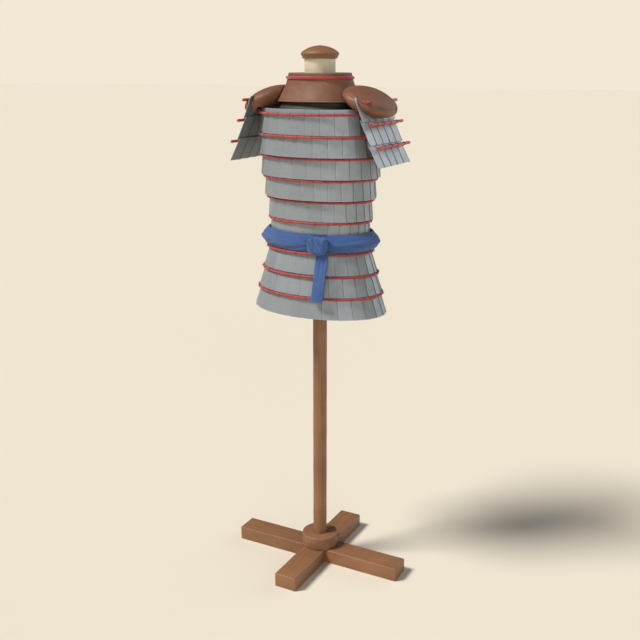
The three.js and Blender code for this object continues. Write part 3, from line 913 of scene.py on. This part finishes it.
def collarSeat(angle, z):
    # a place on the collar's outer face and the way out of it
    rings = smoothTable(collarLevels, 5)
    a, b = atHeight(rings, z)
    lowerA, _ = atHeight(rings, z - 0.004)
    place = onEllipse(a, b, angle, z)
    flat = outward(1, 1, math.atan2(place.y, place.x))
    place += flat * (0.0006 * noise.noise(place * 22))
    out = (outward(a, b, angle) + up * ((lowerA - a) / 0.004)).normalized()
    return place, out


def stitchBar(name, length, thick):
    deselectAll()
    bpy.ops.mesh.primitive_cube_add(size=1, location=(0, 0, 0))
    bar = nameIt(bpy.context.object, name)
    bar.scale = (length, thick, thick)
    settle(bar)
    bpy.ops.object.mode_set(mode="EDIT")
    bpy.ops.mesh.select_all(action="SELECT")
    bpy.ops.mesh.bevel(offset=thick * 0.3, segments=2, affect="EDGES")
    bpy.ops.object.mode_set(mode="OBJECT")
    return bar


thread = leatherFinish("waxed_thread", (0.16, 0.10, 0.062), (0.3, 0.2, 0.13), 0.5)
places = []
for z in (collarTop[0] - collar["inset"], collarFoot[0] + collar["inset"]):
    a, b = atHeight(collarLevels, z)
    count = round(fullTurn * math.sqrt((a * a + b * b) / 2) / collar["stitch"])
    for i in range(count):
        angle = fullTurn * i / count
        place, out = collarSeat(angle, z)
        ahead, _ = collarSeat(angle + 0.01, z)
        places.append(frameAt(place + out * 0.0002, ahead - place, out))
stitches = spread(stitchBar("collar_stitches", 0.0046, 0.0010), places, "collar_stitches")
dress(smoothed(stitches, 60), thread, "leather")

# the braid round the collar is flat, so its section is an oval
low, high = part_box("collar_cord")
z = (low.z + high.z) / 2
a, b = outerEllipse("collar_cord", z)
halfHigh, halfDeep = (high.z - low.z) / 2 / math.sin(math.radians(60)), 0.0015
steps = 240
rows = []
for i in range(steps):
    angle = fullTurn * i / steps
    out = outward(a, b, angle)
    centre = onEllipse(a - halfDeep, b - halfDeep, angle, z)
    ring = []
    for j in range(16):
        turn = fullTurn * j / 16
        plait = 1 + 0.12 * math.cos(fullTurn * 60 * i / steps + (4 if math.sin(turn) > 0 else -4) * turn)
        lift = up * (halfHigh * math.sin(turn)) + out * (halfDeep * math.cos(turn) * plait)
        ring.append(centre + lift)
    rows.append(ring)
braid = smoothed(sheetMesh("collar_braid", rows, closedAcross=True, closedAlong=True), 60)
dress(braid, redCord, "red_cord", "collar_cord")
print("collar and yoke shaped")

# ---- shoulder pads
pad = {"centre": (0.167, 0, 1.540), "size": (0.080, 0.110, 0.035), "droop": 25, "gap": 0.0015,
       "rimGap": 0.0105, "seamUp": 0.34, "seamDeep": 0.0011, "slot": 0.0008, "stitch": 0.0078}
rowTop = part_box("row_1_front")[1].z
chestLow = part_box("row_1_front")[0].z
chestA, chestB = outerEllipse("row_1_front", chestLow)


def givesWay(p):
    # the pad flattens where it rests on the first row and against the collar
    side = 1 if p.x > 0 else -1
    rimA, rimB = chestA + pad["rimGap"], chestB + pad["rimGap"]
    if p.z < rowTop + pad["gap"] and abs(p.x) < 0.184 and (p.x / rimA) ** 2 + (p.y / rimB) ** 2 < 1:
        p = Vector((p.x, p.y, rowTop + pad["gap"]))
    if rowTop < p.z < collarTop[0]:
        a, b = atHeight(collarLevels, max(p.z, collarFoot[0]))
        a, b = a + pad["gap"], b + pad["gap"]
        inside = (p.x / a) ** 2 + (p.y / b) ** 2
        if inside < 1:
            p = Vector((side * a * math.sqrt(max(0, 1 - (p.y / b) ** 2)), p.y, p.z))
    return p


def boxCutter(name, seat, y, rise, depth):
    deselectAll()
    bpy.ops.mesh.primitive_cube_add(size=2, location=(0, 0, 0))
    cutter = nameIt(bpy.context.object, name)
    for v in cutter.data.vertices:
        v.co = seat(v.co.x * y, rise[0] if v.co.z < 0 else rise[1], depth[0] if v.co.y < 0 else depth[1])
    return facedOut(cutter)


def roundedRod(name, radius, half, sides=20):
    # hand-shaved, so its thickness wanders a little
    ends = [(0.0, 0.25), (0.0004, 0.6), (0.0014, 0.86), (0.003, 1.0)]
    rings = [(-half + d, radius * r, radius * r) for d, r in ends]
    for i in range(1, 12):
        wander = radius * (0.975 + 0.025 * math.sin(2.1 * i))
        rings.append((-half + 2 * half * i / 12, wander, wander))
    rings += [(half - d, radius * r, radius * r) for d, r in reversed(ends)]
    return loftedRings(name, rings, sides)


def rodCentre(side, number):
    low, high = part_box(f"arm_rod_{side}_{number}")
    radius = 0.0045
    x = high.x - radius if side == "left" else low.x + radius
    return Vector((x, 0, high.z - radius)), radius, high.y


def makePad():
    deselectAll()
    bpy.ops.mesh.primitive_uv_sphere_add(segments=112, ring_count=76, radius=1, location=(0, 0, 0))
    shell = nameIt(bpy.context.object, "pad")
    for v in shell.data.vertices:
        lift = math.asin(max(-1, min(1, v.co.z)))
        turn = math.atan2(v.co.y, v.co.x)
        seam = math.exp(-((lift - pad["seamUp"]) / 0.035) ** 2)
        pucker = math.exp(-((lift - pad["seamUp"]) / 0.17) ** 2) * math.cos(52 * turn + 2 * math.sin(5 * turn))
        soft = noise.noise(Vector((v.co.x * 1.9, v.co.y * 2.6, v.co.z * 1.6 + 4)))
        out = Vector((v.co.x / 0.080, v.co.y / 0.110, v.co.z / 0.035)).normalized()
        v.co = Vector((v.co.x * 0.080, v.co.y * 0.110, v.co.z * 0.035))
        v.co += out * (0.0003 * pucker + 0.0011 * soft - pad["seamDeep"] * seam)
    shell.rotation_euler = (0, math.radians(pad["droop"]), 0)
    shell.location = pad["centre"]
    settle(shell)
    for v in shell.data.vertices:
        v.co = givesWay(v.co)
    bottom, top, out = armFace("left", 1)

    def seat(y, rise, depth):
        place = bottom.lerp(top, rise) - out * depth
        place.y = y
        return place

    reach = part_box("arm_row_left_1")[1].y + pad["slot"]
    slab = boxCutter("slab", seat, reach, (-0.012, 1.012), (-pad["slot"] - plate["crown"], 0.0046))
    centre, radius, half = rodCentre("left", 1)
    rod = roundedRod("rodCutter", radius + pad["slot"], half + pad["slot"])
    rod.rotation_euler = (math.radians(90), 0, 0)
    rod.location = centre
    settle(rod)
    for cutter in (slab, rod):
        withModifier(shell, "BOOLEAN", operation="DIFFERENCE", object=cutter, solver="EXACT")
        bpy.data.objects.remove(cutter)
    return shell, seat


padLeft, slabSeat = makePad()
padRight = copyOf(padLeft, "shoulder_pad_leather_right")
padRight.data.transform(Matrix.Diagonal((-1, 1, 1, 1)))
padLeather = leatherFinish("pad_leather", (0.225, 0.090, 0.045), (0.34, 0.19, 0.125), 0.52)
for side, piece in (("left", padLeft), ("right", padRight)):
    nameIt(piece, f"shoulder_pad_leather_{side}")
    smoothed(facedOut(piece, mergeFirst=True), 40)
    dress(piece, padLeather, "leather", f"shoulder_pad_{side}")


def padSurface(turn, lift):
    # a place in the groove of the pad's seam
    place = Vector((0.080 * math.cos(lift) * math.cos(turn), 0.110 * math.cos(lift) * math.sin(turn),
                    0.035 * math.sin(lift)))
    out = Vector((place.x / 0.080 ** 2, place.y / 0.110 ** 2, place.z / 0.035 ** 2)).normalized()
    tip = Matrix.Rotation(math.radians(pad["droop"]), 3, "Y")
    return tip @ place + Vector(pad["centre"]), tip @ out


places = []
bottom, top, armOut = armFace("left", 1)
turn = 0.0
while turn < fullTurn:
    place, out = padSurface(turn, pad["seamUp"])
    ahead, _ = padSurface(turn + 0.01, pad["seamUp"])
    away = (place - Vector((bottom.x, place.y, bottom.z))).dot(armOut)
    rodAway = (place - rodCentre("left", 1)[0]).xz.length
    free = (givesWay(place) - place).length < 0.0001 and not -0.0085 < away < 0.0035 and rodAway > 0.009
    if free:
        places.append(frameAt(place - out * (pad["seamDeep"] - 0.0004), ahead - place, out))
    turn += pad["stitch"] / ((ahead - place).length / 0.01)
template = stitchBar("pad_stitches", 0.0048, 0.0011)
rightPlaces = [Matrix.Diagonal((-1, 1, 1, 1)) @ place for place in places]
padStitches = spread(template, places + rightPlaces, "pad_stitches")
dress(smoothed(facedOut(padStitches), 60), thread, "leather")
print("shoulder pads stuffed")

# ---- rods laced to the arm panels
redLacquer = lacquerFinish("red_lacquer")


def rodLashing():
    # a turn of thin cord over the rod, both ends down through the plates; x is the way out
    line = [(-0.0205, 0.0022), (-0.012, 0.0032), (-0.003, 0.0050), (0.0028, 0.0043), (0.0051, 0.0)]
    line += [(x, -z) for x, z in reversed(line[:-1])]
    path = [(Vector((x, 0, z)), Vector((0, 1, 0))) for x, z in smoothTable(line, 5)]
    return sweptCord("rod_lashing", path, 0.0010, points=8, pitch=0.006)


lashing = rodLashing()
lashPlaces = []
for side in ("left", "right"):
    for number in (1, 2, 3):
        centre, radius, half = rodCentre(side, number)
        rod = roundedRod(f"rod_{side}_{number}", radius, half)
        rod.rotation_euler = (math.radians(90), 0, 0)
        rod.location = centre
        dress(smoothed(settle(rod), 50), redLacquer, "red_rod", f"arm_rod_{side}_{number}")
        if number == 1:
            continue
        bottom, top, out = armFace(side, number)
        rise = (top - bottom).normalized()
        along = rise.cross(out)
        turnTo = Matrix((out, along, rise)).transposed().to_4x4()
        for seam in range(1, armPlate["count"]):
            y = -half + 2 * half * seam / armPlate["count"]
            lashPlaces.append(Matrix.Translation((centre.x, y, centre.z)) @ turnTo)
lashings = spread(lashing, lashPlaces, "rod_lashings")
dress(smoothed(facedOut(lashings), 60), redCord, "red_rod")
print("rods lashed on")

# ---- stand and form
linenLook = {"base": (0.88, 0.76, 0.54), "faded": (0.92, 0.82, 0.62), "threads": 620.0}
formLevels = outline("form")
floorZ = formLevels[0][0]
bore = 0.0232
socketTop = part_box("pole")[1].z + 0.0003
formRings = [(socketTop, bore, bore), (floorZ, bore, bore)]
formRings.append((floorZ, formLevels[0][1] - 0.004, formLevels[0][2] - 0.004))
formRings += smoothTable([(z + (0.0015 if i == 0 else 0), a, b) for i, (z, a, b) in enumerate(formLevels)], 4)
form = loftedRings("form_linen", formRings, 72)
for v in form.data.vertices:
    if v.co.xy.length > 0.03:
        v.co += outward(1, 1, math.atan2(v.co.y, v.co.x)) * (0.0007 * noise.noise(v.co * 14))
linen = clothFinish("unbleached_linen", linenLook["base"], linenLook["threads"], 0.0005, 0.15, 0.1,
                    linenLook["faded"])
dress(smoothed(wrapUv(form, 0.08), 50), linen, "linen", "form")

poleWood = woodFinish("pole_wood", turn=(0, math.radians(90), 0))
finialLow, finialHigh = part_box("finial")
capLevels = outline("finial")
capWide, capBase = max(level[1] for level in capLevels), capLevels[0][1]
capRings = [(finialLow.z, capBase - 0.003), (finialLow.z + 0.0008, capBase - 0.0004), (finialLow.z + 0.003, capBase)]
capRings += [(finialLow.z + 0.0105, capWide - 0.0016), (finialLow.z + 0.0125, capWide - 0.0002)]
capRise = finialHigh.z - finialLow.z - 0.0145
for i in range(15):
    share = i / 14
    slope = (1 - share ** 1.75) ** 0.62 * (1 - 0.05 * math.sin(math.pi * share))
    capRings.append((finialLow.z + 0.0145 + capRise * share, max(0.0006, capWide * slope)))
finial = loftedRings("finial_turned", [(z, radius, radius) for z, radius in capRings], 64)
dress(smoothed(finial, 50), poleWood, "wood", "finial")

low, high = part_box("hub")
r = high.x
hubRings = [(low.z, bore), (low.z, r - 0.003), (low.z + 0.001, r - 0.0008), (low.z + 0.003, r)]
hubRings += [(low.z + 0.030, r), (low.z + 0.0308, r - 0.0011), (low.z + 0.0324, r - 0.0011), (low.z + 0.0332, r)]
hubRings += [(high.z - 0.004, r), (high.z - 0.0018, r - 0.0006), (high.z - 0.0006, r - 0.002)]
hubRings += [(high.z, r - 0.0045), (high.z, bore + 0.001), (high.z - 0.001, bore), (low.z, bore)]
hub = loftedRings("hub_turned", [(z, radius, radius) for z, radius in hubRings], 72, filled=False)
dress(smoothed(hub, 40), poleWood, "wood", "hub")

low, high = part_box("pole")
poleRings = [(low.z, high.x - 0.001), (low.z + 0.001, high.x)]
poleRings += [(low.z + (high.z - low.z) * i / 24, high.x - 0.0002 * (1 + math.sin(1.7 * i))) for i in range(1, 24)]
poleRings += [(high.z - 0.001, high.x), (high.z, high.x - 0.001)]
pole = loftedRings("pole_turned", [(z, radius, radius) for z, radius in poleRings], 48)
dress(smoothed(pole, 50), poleWood, "wood", "pole")

for name, turn in (("long", 0), ("cross", 90)):
    beam = cadCopy(f"base_beam_{name}", f"beam_{name}_planed")
    withModifier(beam, "BEVEL", width=0.0028, segments=3, limit_method="ANGLE", angle_limit=math.radians(40))
    wood = woodFinish(f"beam_{name}_wood", turn=(0, 0, math.radians(turn)))
    dress(smoothed(beam, 40), wood, "wood", f"base_beam_{name}")
print("stand and form built")

# ---- sash
sash = {"steps": 320, "thick": 0.0018, "knotAt": -73, "fan": 0.0016}
# each fold: middle and half length in degrees round, share up the band, climb along it, width, depth
sashFolds = [
    (-96, 17, 0.30, 0.05, 0.045, 0.0024), (-118, 30, 0.66, -0.07, 0.040, 0.0021),
    (-140, 26, 0.37, 0.08, 0.050, 0.0023), (-165, 34, 0.58, 0.03, 0.045, 0.0018),
    (-100, 14, 0.78, 0.02, 0.030, 0.0014), (-50, 17, 0.34, -0.08, 0.045, 0.0024),
    (-36, 24, 0.64, 0.06, 0.040, 0.0021), (-10, 30, 0.42, -0.05, 0.050, 0.0022),
    (20, 28, 0.70, 0.05, 0.040, 0.0018), (38, 30, 0.33, 0.07, 0.050, 0.0022),
    (70, 33, 0.60, -0.06, 0.045, 0.0020), (98, 30, 0.36, 0.04, 0.045, 0.0022),
    (125, 27, 0.72, 0.06, 0.035, 0.0017), (150, 31, 0.45, -0.07, 0.050, 0.0022),
]
hem, ridge, top = outline("sash")
lip = (0.0055, 0.0036)


def between(first, second, share, bulge=0.0):
    return tuple(p + (q - p) * share + (bulge if i else 0) for i, (p, q) in enumerate(zip(first, second)))


sashProfile = [
    (hem[0] + 0.0035, hem[1] - lip[0], hem[2] - lip[1]),
    (hem[0] + 0.0006, hem[1] - 0.0035, hem[2] - 0.0022),
    (hem[0] + 0.0012, hem[1] - 0.0003, hem[2] - 0.0003),
    between(hem, ridge, 0.5, 0.0012),
    between(hem, ridge, 0.9, 0.0004),
    between(ridge, top, 0.1, 0.0004),
    between(ridge, top, 0.5, 0.0012),
    (top[0] - 0.0012, top[1] - 0.0001, top[2] - 0.0001),
    (top[0] - 0.0004, top[1] - 0.0032, top[2] - 0.0021),
    (top[0] - 0.0032, top[1] - lip[0], top[2] - lip[1]),
]
sashCurve = smoothTable(sashProfile, 4)


def apart(first, second):
    return (first - second + 180) % 360 - 180


def sashLift(degrees, share):
    # how far the cloth stands out of its plain band
    near = apart(degrees, sash["knotAt"])
    gather = 1 - 0.7 * math.exp(-(near / 15) ** 2)
    lift = 0.0
    for middle, half, place, climb, width, depth in sashFolds:
        along = apart(degrees, middle) / half
        if abs(along) < 1.3:
            centre = 0.5 + (place + climb * along - 0.5) * gather
            fade = math.exp(-(along * 1.25) ** 4)
            d = (share - centre) / width
            lift += depth * fade * (0.75 * math.exp(-((d + 1.1) ** 2)) - math.exp(-d * d))
    fan = math.exp(-(near / 11) ** 2) * math.cos(fullTurn * 4.5 * share + near * 0.06)
    edges = min(1, 7 * share, 7 * (1 - share))
    soft = 0.0009 * noise.noise(Vector((degrees * 0.05, share * 3, 2.0)))
    return edges * (lift + sash["fan"] * fan + soft)


rows = []
for i in range(sash["steps"]):
    degrees = 360 * i / sash["steps"]
    angle = math.radians(degrees)
    row = []
    for j, (z, a, b) in enumerate(sashCurve):
        share = j / (len(sashCurve) - 1)
        lift = sashLift(degrees, share)
        wander = 0.0011 * math.sin(2 * angle + 1) + 0.0006 * math.sin(7 * angle)
        row.append(onEllipse(a + lift, b + lift, angle, z + wander * (2 * share - 1)))
    rows.append(row)
band = sheetMesh("sash_cloth", rows, closedAlong=True)
withModifier(band, "SOLIDIFY", thickness=sash["thick"], offset=-1)
indigo = clothFinish("indigo_cloth", (0.042, 0.112, 0.325), 560.0, 0.0006, 0.2, 0.14, (0.07, 0.15, 0.36))
dress(smoothed(band, 70), indigo, "sash_cloth", "sash")

# the knot is wrapped over the band in pleats; its back lies on the sash
low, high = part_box("sash_knot")
knot = {"pleats": 2.6, "pleat": 0.0024, "slant": 0.5, "around": 64, "along": 64}
middle = (low + high) / 2
knotFront, knotBack = low.y, -0.108


def sashFace(x, z):
    a, b = atHeight([hem, ridge, top], z)
    return -b * math.sqrt(max(0, 1 - (x / a) ** 2))


def rounded(value, power):
    return math.copysign(abs(value) ** power, value)


rows = []
for i in range(knot["along"] + 1):
    t = -1 + 2 * i / knot["along"]
    end = max(0.0, 1 - abs(t) ** 7) ** 0.5
    deep = (knotBack - knotFront) / 2 * (0.08 + 0.92 * end)
    tall = (high.z - low.z) / 2 * (0.12 + 0.88 * end ** 0.7)
    row = []
    for j in range(knot["around"]):
        turn = fullTurn * j / knot["around"]
        c, s = rounded(math.cos(turn), 0.5), rounded(math.sin(turn), 0.5)
        lay = t + knot["slant"] * s * (1 if c > 0 else -1)
        wave = math.cos(math.pi * knot["pleats"] * (lay + 0.22 * math.sin(2.3 * lay)) + 0.8)
        fold = knot["pleat"] * (wave * abs(wave) ** 0.3 - 0.4) * end * (0.45 + 0.55 * abs(c))
        y = (knotFront + knotBack) / 2 - (deep + fold) * c
        z = middle.z + (tall + fold) * s
        x = middle.x + t * (high.x - low.x) / 2 + 0.0012 * s
        if z > hem[0] - 0.004:
            y = min(y, sashFace(x, max(hem[0], min(top[0], z))) + 0.0006)
        row.append(Vector((x, y, z)))
    rows.append(row)
wrap = sheetMesh("knot_wrap", rows, closedAcross=True)
dress(smoothed(wrap, 70), indigo, "sash_cloth", "sash_knot")

# the tail is one width of cloth folded in two down its length
tail = {"steps": 54, "half": 0.0200, "top": (0.076, -0.1305, 1.104), "bottom": (0.0665, -0.155, 0.955),
        "thick": 0.0016, "gap": 0.0086}
fold = [(0.96, 0.62), (0.45, 0.78), (-0.1, 0.80), (-0.6, 0.84), (-0.9, 0.84), (-1.0, 0.5), (-0.92, 0.12)]
fold += [(-0.6, 0.02), (-0.1, 0.0), (0.45, 0.03), (1.0, 0.10)]
section = smoothTable(fold, 4)
rows = []
for i in range(tail["steps"] + 1):
    t = i / tail["steps"]
    x, y, z = (p + (q - p) * t for p, q in zip(tail["top"], tail["bottom"]))
    narrow = 0.95 + 0.05 * min(1, t * 3.2)
    row = []
    for j, (w, d) in enumerate(section):
        pleat = 0.0012 * math.cos(9 * w + 0.7) * (1 - t) ** 1.5 * (1 - d)
        ripple = 0.0009 * math.sin(5 * t + 2.2 * w) * (1 - 0.6 * d)
        depth = tail["thick"] / 2 + tail["gap"] * d * (1 - 0.25 * w) + pleat + ripple
        slant = 0.0015 * w * math.sin(3 * t)
        row.append(Vector((x + w * tail["half"] * narrow, y + 0.0012 + depth, z + slant * t)))
    rows.append(row)
hanging = sheetMesh("sash_tail_cloth", rows)
withModifier(hanging, "SOLIDIFY", thickness=tail["thick"], offset=0)
dress(smoothed(hanging, 70), indigo, "sash_cloth", "sash_tail")
print("sash tied")

# ---- floor, light and background
studio = {
    "floor": (0.79, 0.715, 0.59),
    "background": (0.888, 0.807, 0.665),
    "ambient": (0.075, 0.077, 0.08),
    "key": {"from": (-0.449, -0.42, 0.787), "strength": 3.45, "spread": 17, "colour": (1.0, 0.985, 0.96)},
    "fill": {"from": (0.62, -0.78, 0.14), "strength": 1.15, "spread": 56, "colour": (0.97, 0.99, 1.0)},
    "rim": {"from": (0.52, 0.76, 0.24), "strength": 1.15, "spread": 60, "colour": (0.9, 0.95, 1.0)},
}
deselectAll()
bpy.ops.mesh.primitive_plane_add(size=120, location=(0, 0, 0))
floor = nameIt(bpy.context.object, "studio_floor")
floorPaint, tree, shader = newFinish("studio_floor", **{"Roughness": 1.0, "Specular IOR Level": 0.0})
cloud = useGroup(tree, groups["mottle"], {"Vector": objectPlace(tree), "Scale": 0.6, "Spread": 0.004})["Tone"]
tree.links.new(tinted(tree, studio["floor"], cloud), shader.inputs["Base Color"])
floor.data.materials.append(floorPaint)

for name in ("key", "fill", "rim"):
    lamp = studio[name]
    bpy.ops.object.light_add(type="SUN", location=(0, 0, 4))
    sun = nameIt(bpy.context.object, name + "Light")
    sun.rotation_euler = Vector(lamp["from"]).to_track_quat("Z", "Y").to_euler()
    sun.data.energy = lamp["strength"]
    sun.data.angle = math.radians(lamp["spread"])
    sun.data.color = lamp["colour"]

world = bpy.data.worlds.new("studio")
bpy.context.scene.world = world
world.use_nodes = True
tree = world.node_tree
tree.nodes.clear()
seen = addNode(tree, "LightPath").outputs["Is Camera Ray"]
backdrop = addNode(tree, "Background", {"Color": (*studio["background"], 1.0)})
ambient = addNode(tree, "Background", {"Color": (*studio["ambient"], 1.0)})
blend = addNode(tree, "MixShader", {0: seen, 1: ambient.outputs[0], 2: backdrop.outputs[0]})
addNode(tree, "OutputWorld", {"Surface": blend.outputs[0]})
bpy.context.scene.view_settings.view_transform = "Standard"
print("lights set")
